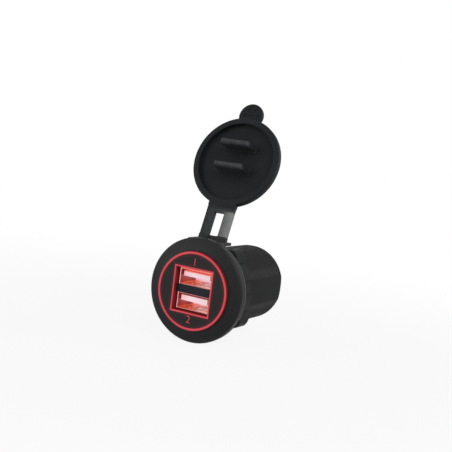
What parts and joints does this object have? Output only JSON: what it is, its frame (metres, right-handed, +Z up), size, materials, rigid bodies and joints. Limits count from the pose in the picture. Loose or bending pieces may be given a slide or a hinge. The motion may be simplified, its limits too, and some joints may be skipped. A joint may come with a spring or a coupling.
{
  "type": "dual usb panel socket with rubber cover",
  "caption": "Round panel socket with stacked charging ports, a glowing ring, a threaded barrel with nut, and a strapped rubber cap.",
  "frame": {"origin": "on the barrel's axis, in the plane where the rubber collar meets the front of the panel", "axes": "+Y along the barrel toward the terminals, -Y out of the face, +X to the right seen from the front, +Z up toward the cap"},
  "size_m": [0.037, 0.0526, 0.0852],
  "materials": {
    "housing_plastic": "moulded black plastic with a fine satin texture",
    "face_plastic": "smooth black plastic",
    "light_plastic": "translucent red plastic, lit from behind",
    "block_plastic": "black plastic",
    "shell_metal": "nickel-plated steel sheet",
    "tongue_plastic": "white plastic",
    "contact_metal": "gold-plated spring contacts",
    "board": "green coated circuit board",
    "emitter": "red light emitters",
    "ferrite": "dark ferrite",
    "copper": "enamelled copper wire",
    "can": "sleeved aluminium can",
    "chip": "black chip package",
    "terminal_metal": "brass blade",
    "nut_plastic": "moulded black plastic",
    "cover_rubber": "soft black rubber with a fine matte bloom"
  },
  "bodies": {
    "root": {"housing": "housing_plastic", "light_guide": "light_plastic", "face_plate": "face_plastic", "port_block": "block_plastic", "upper_port_shell": "shell_metal", "lower_port_shell": "shell_metal", "upper_port_tongue": "tongue_plastic", "lower_port_tongue": "tongue_plastic", "upper_port_contacts": "contact_metal", "lower_port_contacts": "contact_metal", "light_board": "board", "light_emitters": "emitter", "main_board": "board", "inductor_core": "ferrite", "inductor_winding": "copper", "input_capacitor": "can", "output_capacitors": "can", "converter_chips": "chip", "rectifier_diodes": "chip", "rear_cover": "housing_plastic", "positive_terminal": "terminal_metal", "negative_terminal": "terminal_metal", "cover_collar": "cover_rubber"},
    "nut": {"retaining_nut": "nut_plastic"},
    "strap_lower": {"cover_strap_lower": "cover_rubber"},
    "strap_upper": {"cover_strap_upper": "cover_rubber"},
    "cap": {"cover_cap": "cover_rubber"}
  },
  "joints": [
    {"name": "nut_travel", "type": "slide", "parent": "root", "child": "nut", "axis": [0, 1, 0], "range_m": [0, 0.045]},
    {"name": "strap_root_fold", "type": "hinge", "parent": "root", "child": "strap_lower", "pos_m": [0, 0.0039, 0.0193], "axis": [1, 0, 0], "range_deg": [0, 88.29], "stiffness_Nm_per_rad": 0.005},
    {"name": "strap_middle_fold", "type": "hinge", "parent": "strap_lower", "child": "strap_upper", "pos_m": [0, 0.00575, 0.02437], "axis": [1, 0, 0], "range_deg": [0, 69.46], "stiffness_Nm_per_rad": 0.005},
    {"name": "cap_fold", "type": "hinge", "parent": "strap_upper", "child": "cap", "pos_m": [0, 0.00759, 0.02945], "axis": [1, 0, 0], "range_deg": [0, 42.25], "stiffness_Nm_per_rad": 0.005}
  ]
}
